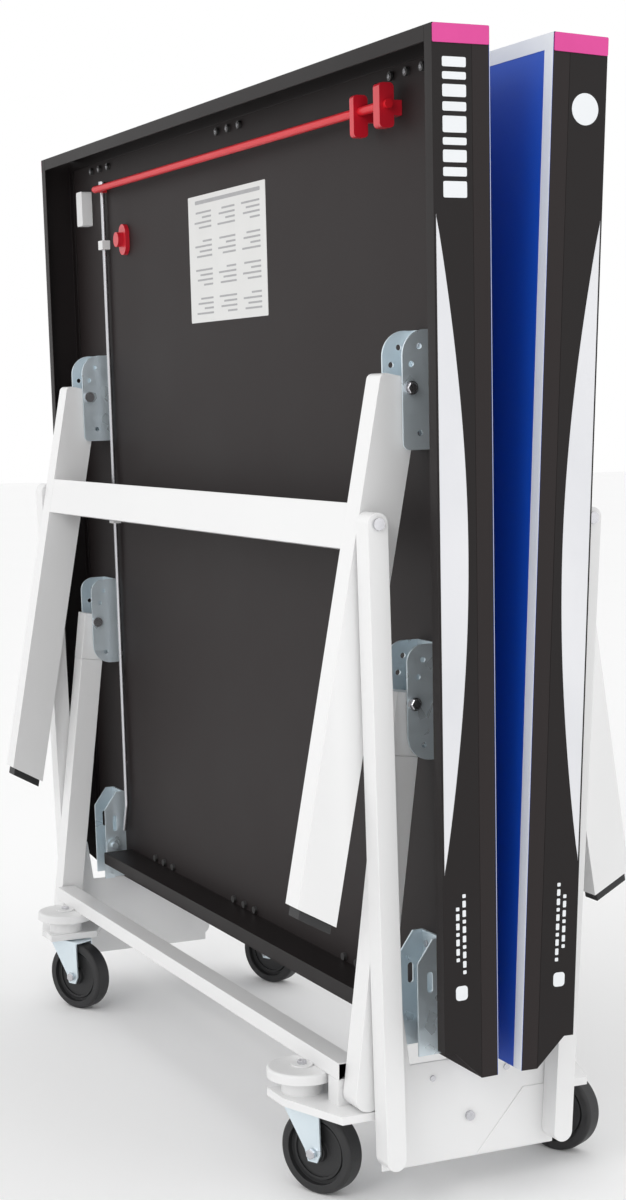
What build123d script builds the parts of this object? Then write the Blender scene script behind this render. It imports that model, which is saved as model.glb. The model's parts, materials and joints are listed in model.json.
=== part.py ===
# Folding table-tennis table on a trolley, folded for storage.
# Millimetres, +Z up, origin on the floor at the centre of the trolley.
# X runs across the fold (left half at -X), Y runs along the net.
from build123d import *
from math import cos, radians, sin, tan
import os

os.makedirs("parts", exist_ok=True)

# Playing surface halves
HALF_LENGTH = 1370.0
TABLE_WIDTH = 1525.0
BOARD_THICK = 25.0
HALF_GAP = 19.0
NET_EDGE_Z = 211.0
BOARD_LEAN = -1.22

# Frame under the board; w is the distance outward from the playing surface
APRON_DEPTH = 82.0
RAIL_WIDTH = 20.0
SHEET = 2.0
NET_RAIL_LOW = 42.0
NET_RAIL_HIGH = 64.0
NET_RAIL_REACH = 570.0
CAP_HEIGHT = 24.0
CAP_THICK = 1.5

# Folding gear in the plane of the legs and stays
GEAR_Y = 630.0
TUBE_DEPTH = 40.0
BRACKET_PLATES = (601.5, 658.5)
BRACKET_SPAN = 60.0
PLATE = 3.0
PIN_R = 6.0
RUNNING_FIT = 0.05
LEG_PIVOT_V = 926.0
LEG_PIVOT_W = 64.0
STAY_PIVOT_V = 505.0
STAY_PIVOT_W = 66.0
NET_ROD_V = 20.0
NET_ROD_W = 30.0
NET_ROD_R = 4.0

# Leg, measured down from its pivot and outward from it
LEG_LEAN = 10.0
LEG_IN = -21.0
LEG_OUT = 41.0
LEG_TOP = 14.0
LEG_LENGTH = 734.8
LEG_PLAY_LEAN = -18.746
FOOT_HEIGHT = 13.0
BAR_TOP = 160.0
BAR_BOTTOM = 222.0
BAR_IN = 5.0
STRUT_DOWN = 184.0
STRUT_OUT = 32.0

# Stay, measured up from its trolley bolt
STAY_BOLT = (-158.0, 165.0)
STAY_LEAN = 6.4647
STAY_LENGTH = 552.997
STAY_WIDE = 42.0
STAY_WALL = 2.0
STAY_SPLIT = 480.0
SLIDER_PLAY = 0.4
TONGUE_LOW = 250.0

# Strut, measured up from its trolley bolt
STRUT_BOLT = (-135.0, 82.0)
STRUT_LEAN = -2.0335
STRUT_LENGTH = 878.333
STRUT_WIDE = 30.0
STRUT_Y = 672.5
STRUT_DEPTH = 35.0

# Release gear near the end rail
RELEASE_V = 1298.0
RELEASE_W = 48.0
RELEASE_R = 6.0
ROD_Y = 570.0
ROD_W = 32.0
ROD_R = 4.0
ROD_TOP = 1312.8
HOOK_V = 70.0
HOOK_W = 52.0

# Trolley
PANEL_Y = 652.0
ARM_TOP = 143.5
ARM_THICK = 12.0
BEAM_X = 167.5
BEAM_WIDE = 35.0
BEAM_LOW = 181.0
BEAM_TALL = 25.0
BEAM_REACH = 608.0
CAP_R = 51.0
CAP_TALL = 15.0
CASTOR_X = 200.0
CASTOR_Y = 520.0
STEM_R = 6.0
TRAIL = 35.0
TRAIL_ANGLE = -63.0
WHEEL_R = 62.5
WHEEL_WIDE = 32.0
AXLE_R = 5.0


def upright(x, z, lean, y):
    """Drawing plane across the table: first axis away from the centre, second up along a part leaning by lean."""
    return Plane(
        origin=(x, y, z),
        x_dir=(-cos(radians(lean)), 0, sin(radians(lean))),
        z_dir=(0, 1, 0),
    )


def across_board(y):
    """Plane across the left half: first axis outward from the playing surface, second up from the net edge."""
    return upright(-HALF_GAP, NET_EDGE_Z, BOARD_LEAN, y)


def under_board(w):
    """Plane parallel to the left playing surface at depth w: first axis -Y, second up from the net edge."""
    lean = radians(BOARD_LEAN)
    return Plane(
        origin=(-HALF_GAP - w * cos(lean), 0, NET_EDGE_Z + w * sin(lean)),
        x_dir=(0, -1, 0),
        z_dir=(-cos(lean), 0, sin(lean)),
    )


def on_board(v, w):
    """X and Z of the point v up the left board and w outward from its playing surface."""
    lean = radians(BOARD_LEAN)
    x = -HALF_GAP + v * sin(lean) - w * cos(lean)
    z = NET_EDGE_Z + v * cos(lean) + w * sin(lean)
    return x, z


def export_pair(shape, name):
    """Write the left piece and its twin, turned half a turn about the vertical."""
    shape.label = "left_" + name
    export_step(shape, "parts/left_" + name + ".step")
    twin = shape.rotate(Axis.Z, 180)
    twin.label = "right_" + name
    export_step(twin, "parts/right_" + name + ".step")


LEG_PIVOT = on_board(LEG_PIVOT_V, LEG_PIVOT_W)
STAY_PIVOT = on_board(STAY_PIVOT_V, STAY_PIVOT_W)

# ---------------------------------------------------------------- board and its frame
with BuildPart() as board:
    with BuildSketch(across_board(0)):
        with Locations((BOARD_THICK / 2, HALF_LENGTH / 2)):
            Rectangle(BOARD_THICK, HALF_LENGTH)
    extrude(amount=TABLE_WIDTH / 2, both=True)
export_pair(board.part, "board")

with BuildPart() as side_rails:
    for side in (-1, 1):
        with BuildSketch(across_board(side * (TABLE_WIDTH / 2 - SHEET / 2))):
            Polygon(
                (BOARD_THICK, 0),
                (BOARD_THICK + NET_RAIL_LOW, NET_RAIL_LOW),
                (APRON_DEPTH, NET_RAIL_LOW),
                (APRON_DEPTH, HALF_LENGTH),
                (BOARD_THICK, HALF_LENGTH),
                align=None,
            )
        extrude(amount=SHEET / 2, both=True)
        with BuildSketch(across_board(side * (TABLE_WIDTH - RAIL_WIDTH) / 2)):
            with Locations((BOARD_THICK + SHEET / 2, (HALF_LENGTH + SHEET) / 2)):
                Rectangle(SHEET, HALF_LENGTH - SHEET)
            with Locations((APRON_DEPTH - SHEET / 2, (HALF_LENGTH + NET_RAIL_LOW) / 2)):
                Rectangle(SHEET, HALF_LENGTH - NET_RAIL_LOW)
        extrude(amount=RAIL_WIDTH / 2, both=True)
export_pair(side_rails.part, "side_rails")

with BuildPart() as end_rail:
    with BuildSketch(across_board(0)):
        with Locations(((BOARD_THICK + APRON_DEPTH) / 2, HALF_LENGTH - RAIL_WIDTH / 2)):
            Rectangle(APRON_DEPTH - BOARD_THICK, RAIL_WIDTH)
        with Locations(((BOARD_THICK + APRON_DEPTH) / 2, HALF_LENGTH - RAIL_WIDTH / 2 - SHEET)):
            Rectangle(APRON_DEPTH - BOARD_THICK - 2 * SHEET, RAIL_WIDTH, mode=Mode.SUBTRACT)
    extrude(amount=TABLE_WIDTH / 2 - RAIL_WIDTH, both=True)
export_pair(end_rail.part, "end_rail")

with BuildPart() as net_rail:
    with BuildSketch(across_board(0)):
        with Locations(((BOARD_THICK + APRON_DEPTH) / 2, (NET_RAIL_LOW + NET_RAIL_HIGH) / 2)):
            Rectangle(APRON_DEPTH - BOARD_THICK, NET_RAIL_HIGH - NET_RAIL_LOW)
            Rectangle(
                APRON_DEPTH - BOARD_THICK - 2 * SHEET,
                NET_RAIL_HIGH - NET_RAIL_LOW - 2 * SHEET,
                mode=Mode.SUBTRACT,
            )
    extrude(amount=NET_RAIL_REACH, both=True)
export_pair(net_rail.part, "net_rail")

with BuildPart() as corner_caps:
    for side in (-1, 1):
        with BuildSketch(across_board(side * (TABLE_WIDTH + CAP_THICK) / 2)):
            with Locations((APRON_DEPTH / 2, HALF_LENGTH - CAP_HEIGHT / 2)):
                RectangleRounded(APRON_DEPTH - 1, CAP_HEIGHT - 1, 2)
        extrude(amount=CAP_THICK / 2, both=True)
export_pair(corner_caps.part, "corner_caps")

# Screw heads on the underside: three groups of three at each end, and two singles
HEAD_TALL = 5.0
TOP_SCREW_V = 1338.0
LOW_SCREW_V = 72.0
SCREW_STEP = 44.0
SINGLE_SCREWS = ((198.0, 105.0), (289.0, 118.0))
with BuildPart() as rail_screws:
    with BuildSketch(under_board(BOARD_THICK)):
        for middle in (-594.0, 0.0, 594.0):
            for step in (-SCREW_STEP, 0.0, SCREW_STEP):
                with Locations((middle + step, TOP_SCREW_V)):
                    Circle(6)
        for middle in (-395.0, -27.0, 395.0):
            for step in (-SCREW_STEP, 0.0, SCREW_STEP):
                with Locations((middle + step, LOW_SCREW_V)):
                    Circle(6)
        with Locations(*SINGLE_SCREWS):
            Circle(6)
    extrude(amount=HEAD_TALL)
export_pair(rail_screws.part, "rail_screws")

# ---------------------------------------------------------------- brackets and pins
with BuildPart() as leg_brackets:
    for side in (-1, 1):
        for plate_y in BRACKET_PLATES:
            with BuildSketch(across_board(side * plate_y)) as leg_plate:
                with Locations((50, 923.5)):
                    Rectangle(50, 157)
                fillet(leg_plate.vertices().group_by(Axis.X)[-1].sort_by(Axis.Y)[-1], 34)
                fillet(leg_plate.vertices().group_by(Axis.Y)[0].sort_by(Axis.X)[-1], 10)
                with Locations((LEG_PIVOT_W, LEG_PIVOT_V)):
                    Circle(PIN_R, mode=Mode.SUBTRACT)
                with Locations((50, 980), (62, 957), (50, 867)):
                    Circle(4, mode=Mode.SUBTRACT)
            extrude(amount=PLATE / 2, both=True)
        with BuildSketch(across_board(side * GEAR_Y)):
            with Locations((BOARD_THICK + PLATE / 2, 923.5)):
                Rectangle(PLATE, 157)
        extrude(amount=BRACKET_SPAN / 2, both=True)
export_pair(leg_brackets.part, "leg_brackets")

with BuildPart() as stay_brackets:
    for side in (-1, 1):
        for plate_y in BRACKET_PLATES:
            with BuildSketch(across_board(side * plate_y)) as stay_plate:
                with Locations((50, 505.5)):
                    Rectangle(50, 159)
                fillet(stay_plate.vertices().group_by(Axis.Y)[-1].sort_by(Axis.X)[-1], 24)
                fillet(stay_plate.vertices().group_by(Axis.Y)[0].sort_by(Axis.X)[-1], 34)
                with Locations((STAY_PIVOT_W, STAY_PIVOT_V)):
                    Circle(PIN_R, mode=Mode.SUBTRACT)
                with Locations((51, 564), (59, 541), (51, 447)):
                    Circle(4, mode=Mode.SUBTRACT)
            extrude(amount=PLATE / 2, both=True)
        with BuildSketch(across_board(side * GEAR_Y)):
            with Locations((BOARD_THICK + PLATE / 2, 505.5)):
                Rectangle(PLATE, 159)
        extrude(amount=BRACKET_SPAN / 2, both=True)
export_pair(stay_brackets.part, "stay_brackets")

with BuildPart() as latch_brackets:
    for side in (-1, 1):
        for plate_y in BRACKET_PLATES:
            with BuildSketch(across_board(side * plate_y)) as latch_plate:
                Polygon((25, 7), (66, 7), (66, 140), (42, 173), (25, 173), align=None)
                with Locations((NET_ROD_W, NET_ROD_V)):
                    Circle(NET_ROD_R + RUNNING_FIT, mode=Mode.SUBTRACT)
                with Locations((47, 112)):
                    SlotOverall(30, 9, rotation=90, mode=Mode.SUBTRACT)
            extrude(amount=PLATE / 2, both=True)
        with BuildSketch(across_board(side * GEAR_Y)):
            with Locations((BOARD_THICK + PLATE / 2, 102.5)):
                Rectangle(PLATE, 141)
        extrude(amount=BRACKET_SPAN / 2, both=True)
    # stud that carries the latch hook, on the far bracket only
    with BuildSketch(across_board(BRACKET_PLATES[0] - PLATE / 2)):
        with Locations((HOOK_W, HOOK_V)):
            Circle(PIN_R)
    extrude(amount=-12)
export_pair(latch_brackets.part, "latch_brackets")

PIN_OUT = 666.0
PIN_IN = 594.0
with BuildPart() as pivot_pins:
    for side in (-1, 1):
        with BuildSketch(across_board(side * (PIN_IN + PIN_OUT) / 2)):
            with Locations((LEG_PIVOT_W, LEG_PIVOT_V), (STAY_PIVOT_W, STAY_PIVOT_V)):
                Circle(PIN_R)
        extrude(amount=(PIN_OUT - PIN_IN) / 2, both=True)
        for head_y in (PIN_IN + 3.0, PIN_OUT - 3.0):
            with BuildSketch(across_board(side * head_y)):
                with Locations((LEG_PIVOT_W, LEG_PIVOT_V), (STAY_PIVOT_W, STAY_PIVOT_V)):
                    Circle(PIN_R + 3.0)
            extrude(amount=3, both=True)
export_pair(pivot_pins.part, "pivot_pins")

with BuildPart() as net_rod:
    with BuildSketch(across_board(0)):
        with Locations((NET_ROD_W, NET_ROD_V)):
            Circle(NET_ROD_R)
    extrude(amount=PIN_OUT + 4, both=True)
export_pair(net_rod.part, "net_rod")

# ---------------------------------------------------------------- legs and stays
FOOT_SLOPE = tan(radians(LEG_PLAY_LEAN))
with BuildPart() as legs:
    for side in (-1, 1):
        with BuildSketch(upright(*LEG_PIVOT, LEG_LEAN, side * GEAR_Y)) as leg_side:
            Polygon(
                (LEG_IN, LEG_TOP),
                (LEG_OUT, LEG_TOP),
                (LEG_OUT, FOOT_HEIGHT - LEG_LENGTH - LEG_OUT * FOOT_SLOPE),
                (LEG_IN, FOOT_HEIGHT - LEG_LENGTH - LEG_IN * FOOT_SLOPE),
                align=None,
            )
            fillet(leg_side.vertices().group_by(Axis.Y)[-1], 9)
        extrude(amount=TUBE_DEPTH / 2, both=True)
        with BuildSketch(upright(*LEG_PIVOT, LEG_LEAN, side * GEAR_Y)):
            Polygon(
                (LEG_IN + SHEET, LEG_TOP - 8),
                (LEG_OUT - SHEET, LEG_TOP - 8),
                (LEG_OUT - SHEET, -LEG_LENGTH),
                (LEG_IN + SHEET, -LEG_LENGTH),
                align=None,
            )
        extrude(amount=TUBE_DEPTH / 2 - SHEET, both=True, mode=Mode.SUBTRACT)
        with BuildSketch(upright(*LEG_PIVOT, LEG_LEAN, side * GEAR_Y)):
            Circle(PIN_R + RUNNING_FIT)
            with Locations((STRUT_OUT, -STRUT_DOWN)):
                Circle(PIN_R - 1)
        extrude(amount=TUBE_DEPTH, both=True, mode=Mode.SUBTRACT)
export_pair(legs.part, "legs")

with BuildPart() as leg_feet:
    for side in (-1, 1):
        with BuildSketch(upright(*LEG_PIVOT, LEG_LEAN, side * GEAR_Y)) as foot_side:
            Polygon(
                (LEG_IN + 5, FOOT_HEIGHT - LEG_LENGTH - (LEG_IN + 5) * FOOT_SLOPE),
                (LEG_OUT - 5, FOOT_HEIGHT - LEG_LENGTH - (LEG_OUT - 5) * FOOT_SLOPE),
                (LEG_OUT - 5, -LEG_LENGTH - (LEG_OUT - 5) * FOOT_SLOPE),
                (LEG_IN + 5, -LEG_LENGTH - (LEG_IN + 5) * FOOT_SLOPE),
                align=None,
            )
        extrude(amount=TUBE_DEPTH / 2 - 4, both=True)
export_pair(leg_feet.part, "leg_feet")

with BuildPart() as crossbar:
    with BuildSketch(upright(*LEG_PIVOT, LEG_LEAN, 0)):
        with Locations(((BAR_IN + LEG_OUT) / 2, -(BAR_TOP + BAR_BOTTOM) / 2)):
            Rectangle(LEG_OUT - BAR_IN, BAR_BOTTOM - BAR_TOP)
            Rectangle(
                LEG_OUT - BAR_IN - 2 * SHEET,
                BAR_BOTTOM - BAR_TOP - 2 * SHEET,
                mode=Mode.SUBTRACT,
            )
    extrude(amount=GEAR_Y - TUBE_DEPTH / 2, both=True)
export_pair(crossbar.part, "crossbar")

STRUT_PIN_R = PIN_R - 1
STRUT_PIN_MID = 652.5
STRUT_PIN_HALF = 42.5
with BuildPart() as strut_pins:
    for side in (-1, 1):
        with BuildSketch(upright(*LEG_PIVOT, LEG_LEAN, side * STRUT_PIN_MID)):
            with Locations((STRUT_OUT, -STRUT_DOWN)):
                Circle(STRUT_PIN_R)
        extrude(amount=STRUT_PIN_HALF, both=True)
        with BuildSketch(upright(*LEG_PIVOT, LEG_LEAN, side * 693.0)):
            with Locations((STRUT_OUT, -STRUT_DOWN)):
                Circle(STRUT_PIN_R + 3)
        extrude(amount=2, both=True)
export_pair(strut_pins.part, "strut_pins")

with BuildPart() as struts:
    for side in (-1, 1):
        with BuildSketch(upright(*STRUT_BOLT, STRUT_LEAN, side * STRUT_Y)):
            with Locations((0, STRUT_LENGTH / 2)):
                SlotOverall(STRUT_LENGTH + STRUT_WIDE, STRUT_WIDE, rotation=90)
        extrude(amount=STRUT_DEPTH / 2, both=True)
        with BuildSketch(upright(*STRUT_BOLT, STRUT_LEAN, side * STRUT_Y)):
            with Locations((0, STRUT_LENGTH / 2)):
                Rectangle(STRUT_WIDE - 2 * SHEET, STRUT_LENGTH - 30)
        extrude(amount=STRUT_DEPTH / 2 - SHEET, both=True, mode=Mode.SUBTRACT)
        with BuildSketch(upright(*STRUT_BOLT, STRUT_LEAN, side * STRUT_Y)):
            with Locations((0, STRUT_LENGTH)):
                Circle(STRUT_PIN_R + RUNNING_FIT)
        extrude(amount=STRUT_DEPTH, both=True, mode=Mode.SUBTRACT)
export_pair(struts.part, "struts")

with BuildPart() as stay_tubes:
    for side in (-1, 1):
        with BuildSketch(upright(*STAY_BOLT, STAY_LEAN, side * GEAR_Y)):
            Circle(STAY_WIDE / 2)
            with Locations((0, STAY_SPLIT / 2)):
                Rectangle(STAY_WIDE, STAY_SPLIT)
        extrude(amount=TUBE_DEPTH / 2, both=True)
        with BuildSketch(upright(*STAY_BOLT, STAY_LEAN, side * GEAR_Y)):
            with Locations((0, (STAY_SPLIT + TONGUE_LOW) / 2 - 10)):
                Rectangle(STAY_WIDE - 2 * STAY_WALL, STAY_SPLIT - TONGUE_LOW + 20)
            with Locations((0, TONGUE_LOW / 2)):
                Rectangle(STAY_WIDE - 2 * STAY_WALL, TONGUE_LOW)
        extrude(amount=TUBE_DEPTH / 2 - STAY_WALL, both=True, mode=Mode.SUBTRACT)
export_pair(stay_tubes.part, "stay_tubes")

with BuildPart() as stay_sliders:
    for side in (-1, 1):
        with BuildSketch(upright(*STAY_BOLT, STAY_LEAN, side * GEAR_Y)):
            with Locations((0, (STAY_SPLIT + 0.5 + STAY_LENGTH + 14) / 2)):
                Rectangle(STAY_WIDE, STAY_LENGTH + 14 - STAY_SPLIT - 0.5)
        extrude(amount=TUBE_DEPTH / 2, both=True)
        with BuildSketch(upright(*STAY_BOLT, STAY_LEAN, side * GEAR_Y)):
            with Locations((0, (STAY_SPLIT + 10 + TONGUE_LOW) / 2)):
                Rectangle(STAY_WIDE - 2 * STAY_WALL - 2 * SLIDER_PLAY, STAY_SPLIT + 10 - TONGUE_LOW)
        extrude(amount=TUBE_DEPTH / 2 - STAY_WALL - SLIDER_PLAY, both=True)
        with BuildSketch(upright(*STAY_BOLT, STAY_LEAN, side * GEAR_Y)):
            with Locations((0, (TONGUE_LOW + STAY_SPLIT) / 2)):
                Rectangle(STAY_WIDE - 14, STAY_SPLIT - TONGUE_LOW - 20)
        extrude(amount=TUBE_DEPTH / 2 - 7, both=True, mode=Mode.SUBTRACT)
        with BuildSketch(upright(*STAY_BOLT, STAY_LEAN, side * GEAR_Y)):
            with Locations((0, STAY_LENGTH)):
                Circle(PIN_R + RUNNING_FIT)
        extrude(amount=TUBE_DEPTH, both=True, mode=Mode.SUBTRACT)
export_pair(stay_sliders.part, "stay_sliders")

# ---------------------------------------------------------------- release gear, left half in its own coordinates
BAR_NEAR = -584.0
BAR_FAR = 565.5
LEVER_THICK = 6.0
LEVER_REACH = 21.0
with BuildPart() as release_bar:
    with BuildSketch(across_board(BAR_NEAR)):
        with Locations((RELEASE_W, RELEASE_V)):
            Circle(RELEASE_R)
    extrude(amount=BAR_FAR - BAR_NEAR)
    with BuildSketch(across_board(BAR_FAR - LEVER_THICK)):
        with Locations((RELEASE_W - LEVER_REACH / 2, RELEASE_V)):
            Rectangle(LEVER_REACH, 10)
    extrude(amount=LEVER_THICK)
export_pair(release_bar.part, "release_bar")

LUGS = ((-495.0, 12.0, 1264.0, 1320.0), (-568.0, 18.0, 1268.0, 1326.0))
LUG_DEPTH = 22.0
KNOB_Y = 475.0
KNOB_V = 1203.0
with BuildPart() as release_fittings:
    for y, width, low, high in LUGS:
        with BuildSketch(across_board(y)) as lug:
            with Locations((RELEASE_W, (low + high) / 2)):
                RectangleRounded(LUG_DEPTH, high - low, 6)
            with Locations(((BOARD_THICK + RELEASE_W) / 2, RELEASE_V - 4)):
                Rectangle(RELEASE_W - BOARD_THICK, 20)
            with Locations((RELEASE_W, RELEASE_V)):
                Circle(RELEASE_R + RUNNING_FIT, mode=Mode.SUBTRACT)
        extrude(amount=width / 2, both=True)
    with BuildSketch(under_board(BOARD_THICK)):
        with Locations((-KNOB_Y, KNOB_V)):
            SlotOverall(54, 34, rotation=90)
    extrude(amount=8)
    with BuildSketch(under_board(BOARD_THICK + 8)):
        with Locations((-KNOB_Y, KNOB_V)):
            Circle(13)
    extrude(amount=12)
export_pair(release_fittings.part, "release_fittings")

with BuildPart() as latch_rod:
    with BuildLine(under_board(ROD_W)) as rod_path:
        Line((-ROD_Y, ROD_TOP), (-ROD_Y, 150))
        Line((-ROD_Y, 150), (-ROD_Y - 16, 100))
    with BuildSketch(Plane(origin=rod_path.wire() @ 0, z_dir=rod_path.wire() % 0)):
        Circle(ROD_R)
    sweep(path=rod_path.wire(), transition=Transition.ROUND)
    with BuildSketch(Plane(origin=rod_path.wire() @ 0, z_dir=rod_path.wire() % 0)):
        Circle(ROD_R + 2.5)
    extrude(amount=7)
export_pair(latch_rod.part, "latch_rod")

GUIDE_Y = 662.0
with BuildPart() as rod_guides:
    with BuildSketch(under_board(BOARD_THICK)):
        with Locations((-GUIDE_Y, 1272)):
            RectangleRounded(30, 62, 4)
    extrude(amount=20)
    for clip_v in (1200.0, 700.0):
        with BuildSketch(under_board(BOARD_THICK)):
            with Locations((-ROD_Y, clip_v)):
                Rectangle(22, 16)
        extrude(amount=15)
        clip_x, clip_z = on_board(clip_v, ROD_W)
        rod_up = (sin(radians(BOARD_LEAN)), 0, cos(radians(BOARD_LEAN)))
        with BuildSketch(Plane(origin=(clip_x, ROD_Y, clip_z), z_dir=rod_up)):
            Circle(ROD_R + 0.5)
        extrude(amount=20, both=True, mode=Mode.SUBTRACT)
export_pair(rod_guides.part, "rod_guides")

HOOK_THICK = 3.0
HOOK_Y = 596.5
with BuildPart() as latch_hook:
    with BuildSketch(across_board(HOOK_Y)):
        with Locations((HOOK_W, HOOK_V)):
            Circle(13)
        Polygon((40, 75), (64, 75), (72, 30), (72, 6), (52, 6), (54, 14), (62, 16), (58, 34), (44, 52), align=None)
        with Locations((HOOK_W, HOOK_V)):
            Circle(PIN_R + RUNNING_FIT, mode=Mode.SUBTRACT)
    extrude(amount=HOOK_THICK / 2, both=True)
export_pair(latch_hook.part, "latch_hook")

# ---------------------------------------------------------------- trolley
with BuildPart() as side_panels:
    for side in (-1, 1):
        with BuildSketch(Plane(origin=(0, side * PANEL_Y, 0), x_dir=(1, 0, 0), z_dir=(0, -1, 0))):
            Polygon(
                (-140, 55),
                (140, 55),
                (140, 150),
                (135, 280),
                (107, 280),
                (96, 205),
                (-96, 205),
                (-107, 280),
                (-135, 280),
                (-140, 150),
                align=None,
            )
        extrude(amount=PLATE / 2, both=True)
side_panels.part.label = "side_panels"
export_step(side_panels.part, "parts/side_panels.step")

with BuildPart() as trolley_beams:
    for side in (-1, 1):
        with BuildSketch(Plane.XZ):
            with Locations((side * BEAM_X, BEAM_LOW + BEAM_TALL / 2)):
                Rectangle(BEAM_WIDE, BEAM_TALL)
                Rectangle(BEAM_WIDE - 2 * SHEET, BEAM_TALL - 2 * SHEET, mode=Mode.SUBTRACT)
        extrude(amount=BEAM_REACH, both=True)
trolley_beams.part.label = "trolley_beams"
export_step(trolley_beams.part, "parts/trolley_beams.step")

HOUSING_R = 30.0
RISER_Y = 591.0
RISER_DEEP = 32.0
ARM_NEAR = 100.0
ARM_FAR = 240.0
ARM_INNER = 486.0
ARM_OUTER = PANEL_Y - PLATE / 2
with BuildPart() as castor_arms:
    for x in (-CASTOR_X, CASTOR_X):
        for y in (-CASTOR_Y, CASTOR_Y):
            sign_x = 1 if x > 0 else -1
            sign_y = 1 if y > 0 else -1
            with BuildSketch(Plane.XY.offset(ARM_TOP - ARM_THICK)):
                Polygon(
                    (sign_x * ARM_NEAR, sign_y * ARM_OUTER),
                    (sign_x * (ARM_FAR - 40), sign_y * ARM_OUTER),
                    (sign_x * ARM_FAR, sign_y * (CASTOR_Y + 20)),
                    (sign_x * ARM_FAR, sign_y * ARM_INNER),
                    (sign_x * (ARM_NEAR + 50), sign_y * ARM_INNER),
                    (sign_x * ARM_NEAR, sign_y * (CASTOR_Y + 60)),
                    align=None,
                )
            extrude(amount=ARM_THICK)
            with BuildSketch(Plane.XY.offset(ARM_TOP)):
                with Locations((x, y)):
                    Circle(HOUSING_R)
            extrude(amount=BEAM_LOW - CAP_TALL - ARM_TOP)
            with BuildSketch(Plane.XY.offset(ARM_TOP)):
                with Locations((sign_x * BEAM_X, sign_y * RISER_Y)):
                    Rectangle(BEAM_WIDE, RISER_DEEP)
            extrude(amount=BEAM_LOW - ARM_TOP)
            with BuildSketch(Plane.XY.offset(ARM_TOP - ARM_THICK)):
                with Locations((x, y)):
                    Circle(STEM_R + RUNNING_FIT)
            extrude(amount=BEAM_LOW - CAP_TALL - ARM_TOP + ARM_THICK - 2, mode=Mode.SUBTRACT)
castor_arms.part.label = "castor_arms"
export_step(castor_arms.part, "parts/castor_arms.step")

with BuildPart() as castor_caps:
    with BuildSketch(Plane.XY.offset(BEAM_LOW - CAP_TALL)):
        with GridLocations(2 * CASTOR_X, 2 * CASTOR_Y, 2, 2):
            Circle(CAP_R)
    extrude(amount=CAP_TALL)
    fillet(castor_caps.edges().group_by(Axis.Z)[-1], 4)
castor_caps.part.label = "castor_caps"
export_step(castor_caps.part, "parts/castor_caps.step")

with BuildPart() as trolley_bolts:
    for side in (-1, 1):
        for turn in (-1, 1):
            with BuildSketch(Plane(origin=(0, side * 608.25, 0), x_dir=(1, 0, 0), z_dir=(0, -1, 0))):
                with Locations((turn * STAY_BOLT[0], STAY_BOLT[1])):
                    Circle(8)
            extrude(amount=1.25, both=True)
            with BuildSketch(Plane(origin=(0, side * 654.0, 0), x_dir=(1, 0, 0), z_dir=(0, -1, 0))):
                with Locations((turn * (STRUT_BOLT[0] + 4), STRUT_BOLT[1])):
                    Circle(9)
            extrude(amount=0.5, both=True)
        with BuildSketch(Plane(origin=(0, side * 656.0, 0), x_dir=(1, 0, 0), z_dir=(0, -1, 0))):
            with Locations((0, 117)):
                Circle(7)
        extrude(amount=2.5, both=True)
trolley_bolts.part.label = "trolley_bolts"
export_step(trolley_bolts.part, "parts/trolley_bolts.step")

# ---------------------------------------------------------------- castors
FORK_TOP = 129.5
FORK_CROWN = 3.0
STEM_TOP = 160.0
CHEEK_X = 20.5
CORNERS = {"left_near": (-1, -1), "left_far": (-1, 1), "right_near": (1, -1), "right_far": (1, 1)}
HEADING = (cos(radians(TRAIL_ANGLE)), sin(radians(TRAIL_ANGLE)))
SIDEWAYS = (HEADING[1], -HEADING[0], 0)


def along_wheel(x, y, z, shift=0.0):
    """Upright plane along the castors' heading, shifted sideways: first axis along the trail, second up."""
    origin = (x + SIDEWAYS[0] * shift, y + SIDEWAYS[1] * shift, z)
    return Plane(origin=origin, x_dir=(*HEADING, 0), z_dir=SIDEWAYS)


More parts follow.
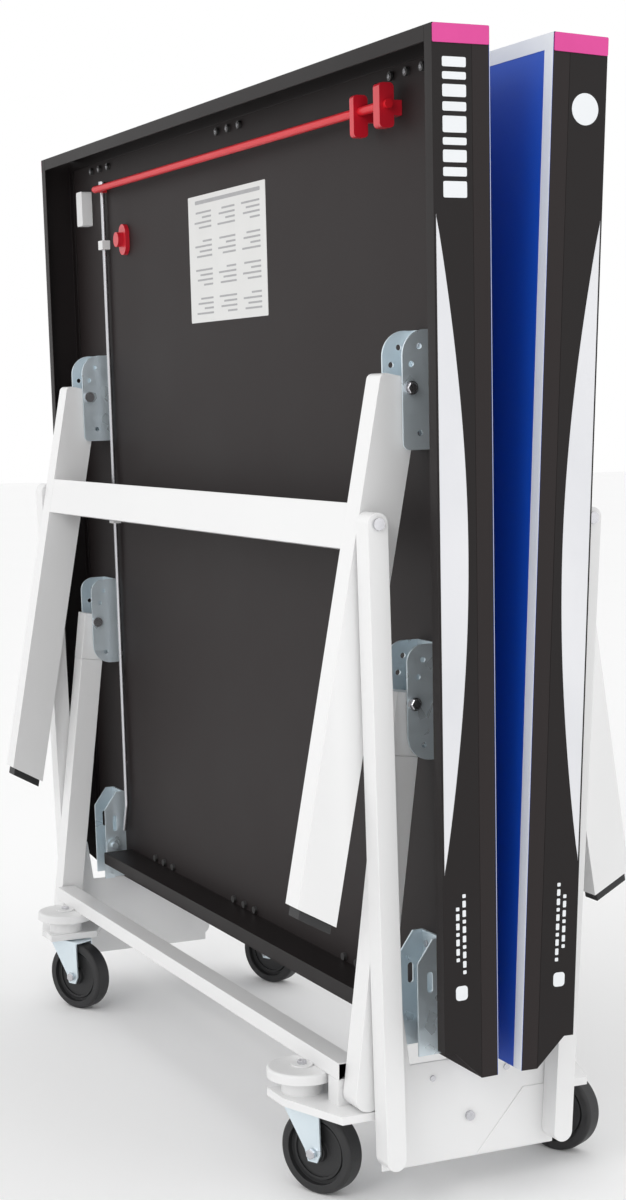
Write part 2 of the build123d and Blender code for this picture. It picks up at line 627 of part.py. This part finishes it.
for corner, (sign_x, sign_y) in CORNERS.items():
    stem_x = sign_x * CASTOR_X
    stem_y = sign_y * CASTOR_Y
    axle_x = stem_x + TRAIL * HEADING[0]
    axle_y = stem_y + TRAIL * HEADING[1]

    with BuildPart() as fork:
        with BuildSketch(Plane.XY.offset(FORK_TOP - FORK_CROWN)):
            with Locations((stem_x + 13 * HEADING[0], stem_y + 13 * HEADING[1])):
                RectangleRounded(74, 2 * CHEEK_X + 3, 8, rotation=TRAIL_ANGLE)
        extrude(amount=FORK_CROWN)
        with BuildSketch(Plane.XY.offset(FORK_TOP)):
            with Locations((stem_x, stem_y)):
                Circle(STEM_R)
        extrude(amount=STEM_TOP - FORK_TOP)
        for cheek in (-CHEEK_X, CHEEK_X):
            with BuildSketch(along_wheel(stem_x, stem_y, 0, cheek)):
                Polygon(
                    (-20, FORK_TOP - 1),
                    (46, FORK_TOP - 1),
                    (TRAIL + 14, WHEEL_R),
                    (TRAIL + 8, WHEEL_R - 13),
                    (TRAIL - 8, WHEEL_R - 13),
                    (TRAIL - 14, WHEEL_R + 4),
                    align=None,
                )
            extrude(amount=1.5, both=True)
        with BuildSketch(along_wheel(axle_x, axle_y, WHEEL_R)):
            Circle(AXLE_R)
        extrude(amount=CHEEK_X + 4, both=True)
    fork.part.label = corner + "_fork"
    export_step(fork.part, "parts/" + corner + "_fork.step")

    with BuildPart() as wheel:
        with BuildSketch(along_wheel(axle_x, axle_y, WHEEL_R)):
            Circle(WHEEL_R)
        extrude(amount=WHEEL_WIDE / 2, both=True)
        fillet(wheel.edges(), 6)
        for face in (-1, 1):
            with BuildSketch(along_wheel(axle_x, axle_y, WHEEL_R, face * WHEEL_WIDE / 2)):
                Circle(WHEEL_R - 14)
                Circle(16, mode=Mode.SUBTRACT)
            extrude(amount=-face * 9, mode=Mode.SUBTRACT)
        with BuildSketch(along_wheel(axle_x, axle_y, WHEEL_R)):
            Circle(AXLE_R + RUNNING_FIT)
        extrude(amount=WHEEL_WIDE, both=True, mode=Mode.SUBTRACT)
    wheel.part.label = corner + "_wheel"
    export_step(wheel.part, "parts/" + corner + "_wheel.step")
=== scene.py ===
"""Folding table-tennis table on its trolley: materials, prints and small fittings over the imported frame.

Metres, +Z up. The left half stands at -X; the right half is the left one turned half a turn about Z.
On a half, v runs up the board from the net edge, w outward from the playing face and y along the net.
"""

import json
import math

import bmesh
import bpy
from mathutils import Matrix, Vector


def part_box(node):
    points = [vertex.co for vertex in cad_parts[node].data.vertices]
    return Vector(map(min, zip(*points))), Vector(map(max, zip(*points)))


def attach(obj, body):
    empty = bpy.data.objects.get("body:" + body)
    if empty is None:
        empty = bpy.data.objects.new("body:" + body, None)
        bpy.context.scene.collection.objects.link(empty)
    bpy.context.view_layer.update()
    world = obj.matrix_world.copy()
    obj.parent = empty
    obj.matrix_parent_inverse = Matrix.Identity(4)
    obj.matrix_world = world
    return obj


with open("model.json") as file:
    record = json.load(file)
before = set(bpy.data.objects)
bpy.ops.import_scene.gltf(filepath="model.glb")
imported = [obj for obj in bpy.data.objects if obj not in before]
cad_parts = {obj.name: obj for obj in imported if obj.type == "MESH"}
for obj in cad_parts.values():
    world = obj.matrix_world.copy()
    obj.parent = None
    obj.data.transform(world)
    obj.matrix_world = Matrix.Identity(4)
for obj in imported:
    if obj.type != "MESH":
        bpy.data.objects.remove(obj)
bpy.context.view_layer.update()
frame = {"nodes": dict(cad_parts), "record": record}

MM = 0.001
HALF_LENGTH = 1370 * MM
WIDTH = 1525 * MM
SLAB = 25 * MM  # thickness of the board
LEAN = math.radians(1.22)  # how far a folded half leans outward
LINE = 20 * MM  # white border of the playing face
CENTRE_LINE = 3 * MM
PAINT = 0.5 * MM  # thickness of every paint and print

SIDES = {"left": 1, "right": -1}
ENDS = (-1, 1)  # the side face at -Y of the left half, and the one at +Y


# ------------------------------------------------------------------ places on a half
slab_low, slab_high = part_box("left_board")
GAP = -slab_high.x
NET_Z = slab_low.z + SLAB * math.sin(LEAN)


# ------------------------------------------------------------------ materials
ROUGHNESS_SPREAD = 0.06
COAT_ROUGHNESS = 0.12
GRAIN_DEPTH = 0.6 * MM


def material(name, colour, roughness, metallic, second, mottling, bump=0.0, bump_scale=400.0, coat=0.0,
             shine=0.5):
    """Surface that drifts slowly between two colours, in roughness too, with a fine grain in its bump."""
    made = bpy.data.materials.new(name)
    made.use_nodes = True
    nodes, links = made.node_tree.nodes, made.node_tree.links
    shader = nodes["Principled BSDF"]
    shader.inputs["Metallic"].default_value = metallic
    shader.inputs["Coat Weight"].default_value = coat
    shader.inputs["Coat Roughness"].default_value = COAT_ROUGHNESS
    shader.inputs["Specular IOR Level"].default_value = shine
    place = nodes.new("ShaderNodeTexCoord")

    clouds = nodes.new("ShaderNodeTexNoise")
    clouds.inputs["Scale"].default_value = mottling
    clouds.inputs["Detail"].default_value = 5.0
    links.new(place.outputs["Object"], clouds.inputs["Vector"])
    mix = nodes.new("ShaderNodeMix")
    mix.data_type = "RGBA"
    mix.inputs["A"].default_value = (*colour, 1)
    mix.inputs["B"].default_value = (*second, 1)
    links.new(clouds.outputs["Fac"], mix.inputs["Factor"])
    links.new(mix.outputs["Result"], shader.inputs["Base Color"])

    rough = nodes.new("ShaderNodeMapRange")
    rough.inputs["To Min"].default_value = roughness - ROUGHNESS_SPREAD
    rough.inputs["To Max"].default_value = roughness + ROUGHNESS_SPREAD
    links.new(clouds.outputs["Fac"], rough.inputs["Value"])
    links.new(rough.outputs["Result"], shader.inputs["Roughness"])
    if bump:
        grain = nodes.new("ShaderNodeTexNoise")
        grain.inputs["Scale"].default_value = bump_scale
        grain.inputs["Detail"].default_value = 3.0
        links.new(place.outputs["Object"], grain.inputs["Vector"])
        relief = nodes.new("ShaderNodeBump")
        relief.inputs["Strength"].default_value = bump
        relief.inputs["Distance"].default_value = GRAIN_DEPTH
        links.new(grain.outputs["Fac"], relief.inputs["Height"])
        links.new(relief.outputs["Normal"], shader.inputs["Normal"])
    return made


def zinc(name):
    """Bright zinc plate with the soft spangle of crystals in its colour and shine."""
    made = material(name, (0.66, 0.76, 0.82), 0.34, 0.60, (0.82, 0.90, 0.94), 9.0, 0.25, 300.0)
    nodes, links = made.node_tree.nodes, made.node_tree.links
    cells = nodes.new("ShaderNodeTexVoronoi")
    cells.inputs["Scale"].default_value = 70.0
    place = next(n for n in nodes if n.type == "TEX_COORD")
    links.new(place.outputs["Object"], cells.inputs["Vector"])
    shine = nodes.new("ShaderNodeMapRange")
    shine.inputs["To Min"].default_value = 0.24
    shine.inputs["To Max"].default_value = 0.46
    links.new(cells.outputs["Color"], shine.inputs["Value"])
    links.new(shine.outputs["Result"], nodes["Principled BSDF"].inputs["Roughness"])
    return made


BOARD = material(
    "board_underside", (0.012, 0.008, 0.008), 0.60, 0.0, (0.017, 0.012, 0.012), 5.0, 0.35, 900.0, shine=0.3)
APRON_PAINT = material(
    "apron_paint", (0.007, 0.005, 0.005), 0.48, 0.0, (0.011, 0.008, 0.008), 5.0, 0.2, 1200.0, shine=0.25)
BLUE = material(
    "playing_blue", (0.003, 0.075, 0.50), 0.50, 0.0, (0.003, 0.065, 0.44), 3.0, 0.25, 1500.0)
WHITE_LINE = material(
    "line_white", (0.80, 0.82, 0.84), 0.5, 0.0, (0.74, 0.76, 0.78), 20.0, 0.2, 900.0)
WHITE_METAL = material(
    "white_powder_coat", (0.83, 0.83, 0.83), 0.36, 0.0, (0.79, 0.79, 0.79), 4.0, 0.18, 700.0, coat=0.25)
WHITE_PLASTIC = material(
    "white_moulding", (0.80, 0.80, 0.80), 0.45, 0.0, (0.76, 0.76, 0.76), 14.0, 0.25, 600.0)
ZINC = zinc("zinc_plate")
STEEL = material(
    "bright_steel", (0.66, 0.66, 0.68), 0.26, 0.95, (0.52, 0.52, 0.55), 30.0, 0.15, 800.0)
DARK_STEEL = material(
    "dark_screws", (0.10, 0.10, 0.10), 0.35, 0.8, (0.20, 0.20, 0.20), 60.0, 0.15, 800.0)
BLACK_STEEL = material(
    "black_rod", (0.02, 0.02, 0.02), 0.4, 0.3, (0.035, 0.035, 0.035), 20.0, 0.15, 800.0)
RUBBER = material(
    "black_rubber", (0.012, 0.012, 0.013), 0.55, 0.0, (0.028, 0.028, 0.029), 25.0, 0.5, 500.0)
RED_PLASTIC = material(
    "red_moulding", (0.66, 0.008, 0.022), 0.38, 0.0, (0.50, 0.010, 0.025), 12.0, 0.15, 600.0, coat=0.3)
RED_METAL = material(
    "red_paint", (0.70, 0.008, 0.020), 0.42, 0.0, (0.60, 0.006, 0.016), 10.0, 0.12, 600.0, coat=0.1)
PINK = material(
    "pink_cap", (0.70, 0.05, 0.30), 0.45, 0.0, (0.62, 0.04, 0.26), 20.0, 0.2, 700.0)
PRINT = material(
    "white_print", (0.78, 0.78, 0.80), 0.48, 0.0, (0.62, 0.63, 0.66), 5.0, 0.15, 900.0)
PAPER = material(
    "instruction_paper", (0.74, 0.74, 0.73), 0.6, 0.0, (0.68, 0.68, 0.67), 12.0, 0.2, 500.0)
GREY_INK = material(
    "grey_ink", (0.42, 0.42, 0.43), 0.6, 0.0, (0.34, 0.34, 0.35), 60.0, 0.1, 500.0)

BY_SLOT = {
    "board": BOARD, "apron": APRON_PAINT, "pink_cap": PINK, "screw": DARK_STEEL, "zinc": ZINC, "bolt": STEEL,
    "black_steel": BLACK_STEEL, "white_metal": WHITE_METAL, "white_plastic": WHITE_PLASTIC,
    "black_rubber": RUBBER, "red_plastic": RED_PLASTIC, "red_metal": RED_METAL,
}
# radius of the softened edges, in mm; the thin zinc plate stays as it is
EDGE_ROUND = {
    "white_metal": 1.8, "white_plastic": 1.2, "red_plastic": 1.2, "board": 0.8, "apron": 0.6,
    "black_rubber": 1.0,
}
SAME_POINT = 0.02 * MM
FLAT_ENOUGH = math.radians(0.5)
SHARP_EDGE = math.radians(40)


def dress_frame():
    """Every CAD node keeps its shape and gets its material, and softened edges where it is thick enough."""
    slots = {row["node"]: row["material_slot"] for row in frame["record"]["subparts"]}
    for name, node in frame["nodes"].items():
        slot_name = slots[name]
        node.data.materials.clear()
        node.data.materials.append(BY_SLOT[slot_name])
        if slot_name in EDGE_ROUND:
            weld = node.modifiers.new("weld", "WELD")
            weld.merge_threshold = SAME_POINT
            flat = node.modifiers.new("flat_faces", "DECIMATE")
            flat.decimate_type = "DISSOLVE"
            flat.angle_limit = FLAT_ENOUGH
            rounding = node.modifiers.new("rounding", "BEVEL")
            rounding.width = EDGE_ROUND[slot_name] * MM
            rounding.segments = 2
            rounding.limit_method = "ANGLE"
            rounding.angle_limit = SHARP_EDGE
            node.modifiers.new("face_normals", "WEIGHTED_NORMAL")


# ------------------------------------------------------------------ mesh helpers
def finish_mesh(name, bm, surface, body, place=None, rounding=0.0):
    """Turn a bmesh into a piece that rides on a body and takes a material slot's finish."""
    if place:
        bmesh.ops.transform(bm, matrix=place, verts=bm.verts)
    bmesh.ops.recalc_face_normals(bm, faces=bm.faces)
    mesh = bpy.data.meshes.new(name)
    bm.to_mesh(mesh)
    bm.free()
    piece = bpy.data.objects.new(name, mesh)
    bpy.context.scene.collection.objects.link(piece)
    mesh.materials.append(surface)
    if rounding:
        soft = piece.modifiers.new("rounding", "BEVEL")
        soft.width = rounding
        soft.segments = 2
        soft.limit_method = "ANGLE"
    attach(piece, body)
    return piece


def half_place(side):
    """Takes (v, w, y) on a half to its place in the world."""
    turn = SIDES[side]
    sine, cosine = math.sin(LEAN), math.cos(LEAN)
    return Matrix((
        (-turn * sine, -turn * cosine, 0, -turn * GAP),
        (0, 0, turn, 0),
        (cosine, -sine, 0, NET_Z),
        (0, 0, 0, 1),
    ))


def block(bm, low, high, corner=0.0, through=1):
    """Box between two corners, with its four edges along one axis rounded."""
    low, high = Vector(low), Vector(high)
    spread = Matrix.Translation((low + high) / 2) @ Matrix.Diagonal((*(high - low), 1))
    made = bmesh.ops.create_cube(bm, size=1.0, matrix=spread)["verts"]
    if corner:
        edges = list(dict.fromkeys(edge for vert in made for edge in vert.link_edges))
        along = [e for e in edges if abs((e.verts[1].co - e.verts[0].co)[through]) > 1e-6]
        bmesh.ops.bevel(bm, geom=along, offset=corner, affect="EDGES", segments=4, profile=0.5, material=-1)


def post(bm, base, axis, radius, height, segments=24, chamfer=0.0):
    """Round or many-sided post standing on a point along an axis, its far rim chamfered."""
    axis = Vector(axis).normalized()
    middle = Vector(base) + axis * height / 2
    turn = axis.to_track_quat("Z", "Y").to_matrix().to_4x4()
    made = bmesh.ops.create_cone(bm, cap_ends=True, segments=segments, radius1=radius, radius2=radius,
                                 depth=height, matrix=Matrix.Translation(middle) @ turn)["verts"]
    if chamfer:
        far = {vert for vert in made if (vert.co - middle).dot(axis) > 0}
        rim = [e for e in dict.fromkeys(edge for vert in made for edge in vert.link_edges)
               if e.verts[0] in far and e.verts[1] in far]
        bmesh.ops.bevel(bm, geom=rim, offset=chamfer, affect="EDGES", segments=1, profile=0.5, material=-1)


def ring(bm, centre, axis, inner, outer, depth):
    """Flat washer about an axis, its square section spun round it, from centre outward by depth."""
    axis = Vector(axis).normalized()
    across = axis.orthogonal().normalized()
    section = [bm.verts.new(centre + across * radius + axis * level)
               for radius, level in ((inner, 0), (outer, 0), (outer * 0.97, depth), (inner, depth))]
    edges = [bm.edges.new((section[i - 1], section[i])) for i in range(4)]
    bmesh.ops.spin(bm, geom=[*section, *edges], cent=centre, axis=axis, angle=math.tau, steps=40,
                   use_merge=True)


def thicken(bm, face, reach):
    """Raise a flat face into a closed solid."""
    grown = bmesh.ops.extrude_face_region(bm, geom=[face])["geom"]
    moved = [part for part in grown if isinstance(part, bmesh.types.BMVert)]
    bmesh.ops.translate(bm, verts=moved, vec=reach)


# ------------------------------------------------------------------ playing faces
PAINT_MARGIN = 0.4 * MM


def playing_face(side):
    """Blue paint over a half's playing face, with its white border and centre line."""
    body = side + "_top"
    half = WIDTH / 2 - PAINT_MARGIN
    bm = bmesh.new()
    block(bm, (PAINT_MARGIN, -PAINT, -half), (HALF_LENGTH - PAINT_MARGIN, 0, half))
    finish_mesh(side + "_blue_paint", bm, BLUE, body, half_place(side))
    bm = bmesh.new()
    inner = HALF_LENGTH - LINE
    block(bm, (inner, -2 * PAINT, -half), (HALF_LENGTH - PAINT_MARGIN, -PAINT, half))
    block(bm, (PAINT_MARGIN, -2 * PAINT, half - LINE), (inner, -PAINT, half))
    block(bm, (PAINT_MARGIN, -2 * PAINT, -half), (inner, -PAINT, LINE - half))
    block(bm, (PAINT_MARGIN, -2 * PAINT, -CENTRE_LINE / 2), (inner, -PAINT, CENTRE_LINE / 2))
    finish_mesh(side + "_white_lines", bm, WHITE_LINE, body, half_place(side))


# ------------------------------------------------------------------ printed side faces
CRESCENT_LOW = 293 * MM
CRESCENT_HIGH = 1136 * MM
CRESCENT_CHORD = 79 * MM
CRESCENT_DEPTH = 41 * MM
CRESCENT_POINT = 4 * MM
CRESCENT_THIN = 0.2 * MM
CRESCENT_BOW = 0.9  # under 1, so that the bow fills out towards its points

BAR_START = 1160 * MM
BAR_GAP = 6 * MM
BAR_NEAR, BAR_FAR = 34 * MM, 68 * MM
BAR_HEIGHTS = (20, 11, 15, 9, 20, 11, 15, 9, 12)

BALL_V, BALL_W, BALL_RADIUS = 1278 * MM, 50 * MM, 20 * MM

FINE_LINES = ((50, 150, 268), (60, 168, 250))  # w, lowest and highest v, in mm
LONG_DASH, SHORT_DASH, DASH_GAP, DASH_HALF_WIDTH = 9, 5, 4, 2.5


def printed(bm, end, v_1, v_2, w_1, w_2, corner):
    """Rounded patch of print on a side face."""
    face = end * WIDTH / 2
    low, high = sorted((face, face + end * PAINT))
    block(bm, (v_1, w_1, low), (v_2, w_2, high), corner, 2)


def where(end):
    """Name of a side face."""
    return "far" if end > 0 else "near"


def crescent(side, end):
    """Long pale bow along the outer edge of a side face."""
    face = end * WIDTH / 2
    inward = CRESCENT_CHORD - CRESCENT_THIN
    bm = bmesh.new()
    corners = [bm.verts.new((v, w, face)) for v, w in (
        (CRESCENT_LOW - CRESCENT_POINT, CRESCENT_CHORD), (CRESCENT_LOW, inward),
        (CRESCENT_HIGH, inward), (CRESCENT_HIGH + CRESCENT_POINT, CRESCENT_CHORD))]
    bow = bm.faces.new(corners)
    arc = bm.edges.get((corners[1], corners[2]))
    bmesh.ops.subdivide_edges(bm, edges=[arc], cuts=47)
    for vert in bm.verts:
        share = (vert.co.x - CRESCENT_LOW) / (CRESCENT_HIGH - CRESCENT_LOW)
        if 0 < share < 1:
            vert.co.y -= CRESCENT_DEPTH * math.sin(math.pi * share) ** CRESCENT_BOW
    thicken(bm, bow, (0, 0, end * PAINT))
    finish_mesh(f"{side}_crescent_{where(end)}", bm, PRINT, side + "_top", half_place(side))


def bars(side, end):
    """Column of plain bars near the top of a side face."""
    bm = bmesh.new()
    v = BAR_START
    for tall in BAR_HEIGHTS:
        printed(bm, end, v, v + tall * MM, BAR_NEAR, BAR_FAR, 2 * MM)
        v += tall * MM + BAR_GAP
    finish_mesh(f"{side}_bars_{where(end)}", bm, WHITE_LINE, side + "_top", half_place(side))


def ball_mark(side, end):
    """Plain round ball printed near the top of a side face."""
    bm = bmesh.new()
    post(bm, (BALL_V, BALL_W, end * WIDTH / 2), (0, 0, end), BALL_RADIUS, PAINT, 40)
    finish_mesh(f"{side}_ball_{where(end)}", bm, WHITE_LINE, side + "_top", half_place(side))


def fine_lines(side, end):
    """Two fine broken lines and a small square near the bottom of a side face."""
    bm = bmesh.new()
    for w, v, high in FINE_LINES:
        count = 0
        tall = SHORT_DASH
        while v + tall <= high:
            printed(bm, end, v * MM, (v + tall) * MM, (w - DASH_HALF_WIDTH) * MM, (w + DASH_HALF_WIDTH) * MM,
                    1 * MM)
            v += tall + DASH_GAP
            count += 1
            tall = LONG_DASH if count % 3 else SHORT_DASH
    printed(bm, end, 114 * MM, 134 * MM, 46 * MM, 64 * MM, 5 * MM)
    finish_mesh(f"{side}_fine_lines_{where(end)}", bm, WHITE_LINE, side + "_top",
                half_place(side))


# ------------------------------------------------------------------ underside fittings
SHEET_LOW_V, SHEET_HIGH_V = 1043 * MM, 1247 * MM
SHEET_LOW_Y, SHEET_HIGH_Y = -132 * MM, 178 * MM
PAPER_THICKNESS = 0.4 * MM
INK_THICKNESS = 0.2 * MM
LINE_LENGTHS = (70, 52, 64, 38)  # of the grey lines in a block, in mm

# lowest and highest v of the leg, stay and latch brackets, in mm
BRACKET_SPANS = ((845, 1002), (426, 585), (32, 173))
BRACKET_Y = 630
PIVOTS = ((926, 64), (505, 66))  # v and w of the leg and stay pins, in mm
PIN_END_Y = 666
RAIL_SCREW_GROUPS = (-594, 0, 594)
RAIL_SCREW_STEPS = (-44, 0, 44)


def instruction_sheet():
    """Blank white sheet with grey blocks where drawings would be, on the left half."""
    paper = SLAB + PAPER_THICKNESS
    ink = paper + INK_THICKNESS
    bm = bmesh.new()
    block(bm, (SHEET_LOW_V, SLAB, SHEET_LOW_Y), (SHEET_HIGH_V, paper, SHEET_HIGH_Y), 2 * MM)
    finish_mesh("instruction_sheet", bm, PAPER, "left_top", half_place("left"))
    bm = bmesh.new()
    for row in range(4):
        for column in range(3):
            v = SHEET_HIGH_V - (26 + 46 * row) * MM
            y = SHEET_LOW_Y + (22 + 96 * column) * MM
            for line in range(4):
                width = LINE_LENGTHS[(line + row + column) % 4] * MM
                top = v - line * 8 * MM
                block(bm, (top - 3 * MM, paper, y), (top, ink, y + width), 1 * MM)
    block(bm, (SHEET_HIGH_V - 14 * MM, paper, SHEET_LOW_Y + 20 * MM),
          (SHEET_HIGH_V - 8 * MM, ink, SHEET_HIGH_Y - 30 * MM), 2 * MM)
    finish_mesh("instruction_blocks", bm, GREY_INK, "left_top", half_place("left"))


def bracket_rivets(side):
    """Rivets through the three brackets' base plates, and nuts on their pivot pins."""
    bm = bmesh.new()
    for end in ENDS:
        for low, high in BRACKET_SPANS:
            for v in (low + 18, high - 18):
                for step in (-14, 14):
                    base = (v * MM, SLAB + 3 * MM, (end * BRACKET_Y + step) * MM)
                    post(bm, base, (0, 1, 0), 5 * MM, 2 * MM, 16)
    finish_mesh(side + "_rivets", bm, STEEL, side + "_top", half_place(side), 0.6 * MM)
    bm = bmesh.new()
    for end in ENDS:
        for v, w in PIVOTS:
            post(bm, (v * MM, w * MM, end * PIN_END_Y * MM), (0, 0, end), 8 * MM, 3 * MM, 6, 0.9 * MM)
    finish_mesh(side + "_pin_nuts", bm, STEEL, side + "_top", half_place(side))


def screw_centres(side):
    """Bright centres on the screw heads at the end rail."""
    bm = bmesh.new()
    for middle in RAIL_SCREW_GROUPS:
        for step in RAIL_SCREW_STEPS:
            post(bm, (1338 * MM, SLAB + 5 * MM, (middle + step) * MM), (0, 1, 0), 3.2 * MM, 0.8 * MM, 16)
    finish_mesh(side + "_screw_centres", bm, STEEL, side + "_top", half_place(side))


# ------------------------------------------------------------------ trolley and castors
TRAIL_ANGLE = math.radians(-63)
AXLE = Vector((math.sin(TRAIL_ANGLE), -math.cos(TRAIL_ANGLE), 0))
WEB_FACE = 7 * MM  # distance of the wheel's recessed web from its middle, and so on outward
HUB_FACE = 16 * MM
FORK_FACE = 24.5 * MM
SKIN_OUTLINE = ((88, 146), (134, 146), (134, 58), (12, 58))
PANEL_SCREWS = ((-121, 262), (-121, 232), (121, 262), (121, 232), (-60, 180), (60, 180))
CAP_RADIUS = 51 * MM


def castor_details():
    """Moulded rings on both sides of every wheel, and a nut on each end of its axle."""
    for corner in ("left_near", "left_far", "right_near", "right_far"):
        low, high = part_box(corner + "_wheel")
        centre = (low + high) / 2
        radius = (high.z - low.z) / 2
        bm = bmesh.new()
        for turn in (-1, 1):
            ring(bm, centre + AXLE * turn * WEB_FACE, AXLE * turn, radius * 0.62, radius * 0.70, 2.5 * MM)
            ring(bm, centre + AXLE * turn * HUB_FACE, AXLE * turn, 6 * MM, 12 * MM, 1.5 * MM)
        finish_mesh(corner + "_hub_rings", bm, RUBBER, corner + "_castor_wheel")
        bm = bmesh.new()
        for turn in (-1, 1):
            post(bm, centre + AXLE * turn * FORK_FACE, AXLE * turn, 8 * MM, 5 * MM, 6, 1.2 * MM)
        finish_mesh(corner + "_axle_nuts", bm, STEEL, corner + "_castor")


def panel_details():
    """Folded second skin with a slanted edge, and screw heads, on the outside of both trolley panels."""
    low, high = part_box("side_panels")
    for name, end, face in (("near", -1, low.y), ("far", 1, high.y)):
        bm = bmesh.new()
        skin = bm.faces.new([bm.verts.new((-end * x * MM, face, z * MM))
                             for x, z in SKIN_OUTLINE])
        thicken(bm, skin, (0, end * 1.2 * MM, 0))
        finish_mesh("panel_skin_" + name, bm, WHITE_METAL, "trolley", None, 0.5 * MM)
        bm = bmesh.new()
        for x, z in PANEL_SCREWS:
            post(bm, (x * MM, face, z * MM), (0, end, 0), 4.5 * MM, 2 * MM, 20)
        finish_mesh("panel_screws_" + name, bm, STEEL, "trolley", None, 0.5 * MM)


def cap_bosses():
    """Stepped boss and nut on top of every castor cap."""
    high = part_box("castor_caps")[1]
    reach_x = high.x - CAP_RADIUS
    reach_y = high.y - CAP_RADIUS
    corners = [(x, y) for x in (-reach_x, reach_x) for y in (-reach_y, reach_y)]
    bm = bmesh.new()
    for x, y in corners:
        post(bm, (x, y, high.z), (0, 0, 1), 16 * MM, 2.5 * MM, 40)
    finish_mesh("castor_bosses", bm, WHITE_PLASTIC, "trolley", None, 0.8 * MM)
    bm = bmesh.new()
    for x, y in corners:
        post(bm, (x, y, high.z + 2.5 * MM), (0, 0, 1), 7 * MM, 5 * MM, 6, 1 * MM)
    finish_mesh("castor_nuts", bm, STEEL, "trolley")


# ------------------------------------------------------------------ floor, light and camera
FLOOR_REACH = 30
LIGHTS = (
    ("key", (-3.6, -2.6, 3.0), 1.6, 36),
    ("fill", (1.5, -4.5, 1.8), 2.5, 12),
)
LIT_POINT = Vector((0, 0, 0.8))
EYE = Vector((-1.407, -3.073, 1.101))
YAW, PITCH, ROLL = 0.448, 0.1623, -0.0046


def studio():
    """White floor, soft key from the left of the camera and a bright even surround."""
    bm = bmesh.new()
    block(bm, (-FLOOR_REACH, -FLOOR_REACH, -0.02), (FLOOR_REACH, FLOOR_REACH, 0))
    mesh = bpy.data.meshes.new("floor")
    bm.to_mesh(mesh)
    bm.free()
    floor = bpy.data.objects.new("floor", mesh)
    bpy.context.scene.collection.objects.link(floor)
    mesh.materials.append(material("floor_white", (0.95, 0.95, 0.95), 0.8, 0.0, (0.93, 0.93, 0.93), 1.0))

    world = bpy.data.worlds.new("surround")
    bpy.context.scene.world = world
    world.use_nodes = True
    world.node_tree.nodes["Background"].inputs["Color"].default_value = (1, 1, 1, 1)
    world.node_tree.nodes["Background"].inputs["Strength"].default_value = 1.0

    for name, place, size, power in LIGHTS:
        light = bpy.data.lights.new(name, "AREA")
        light.size = size
        light.energy = power
        lamp = bpy.data.objects.new(name, light)
        bpy.context.scene.collection.objects.link(lamp)
        lamp.location = place
        lamp.rotation_euler = (LIT_POINT - lamp.location).to_track_quat("-Z", "Y").to_euler()


def camera():
    """Eye-level view from the near left corner."""
    look = Vector((math.sin(YAW) * math.cos(PITCH), math.cos(YAW) * math.cos(PITCH), -math.sin(PITCH)))
    data = bpy.data.cameras.new("camera")
    data.sensor_width = 36
    data.lens = 61.4
    data.shift_y = 0.125
    cam = bpy.data.objects.new("camera", data)
    bpy.context.scene.collection.objects.link(cam)
    turn = look.to_track_quat("-Z", "Y").to_matrix().to_4x4()
    cam.matrix_world = Matrix.Translation(EYE) @ turn @ Matrix.Rotation(ROLL, 4, "Z")
    bpy.context.scene.camera = cam
    # plain colours, so that the white surround comes out white
    bpy.context.scene.view_settings.view_transform = "Standard"


# ------------------------------------------------------------------ build
dress_frame()
for half_name in SIDES:
    playing_face(half_name)
    bracket_rivets(half_name)
    screw_centres(half_name)
    for face_end in ENDS:
        crescent(half_name, face_end)
        fine_lines(half_name, face_end)
    # the right half is turned half a turn, so it is its +Y face that stands beside the left one's -Y face
    bars(half_name, -1)
    ball_mark(half_name, 1)
instruction_sheet()
castor_details()
panel_details()
cap_bosses()
studio()
camera()
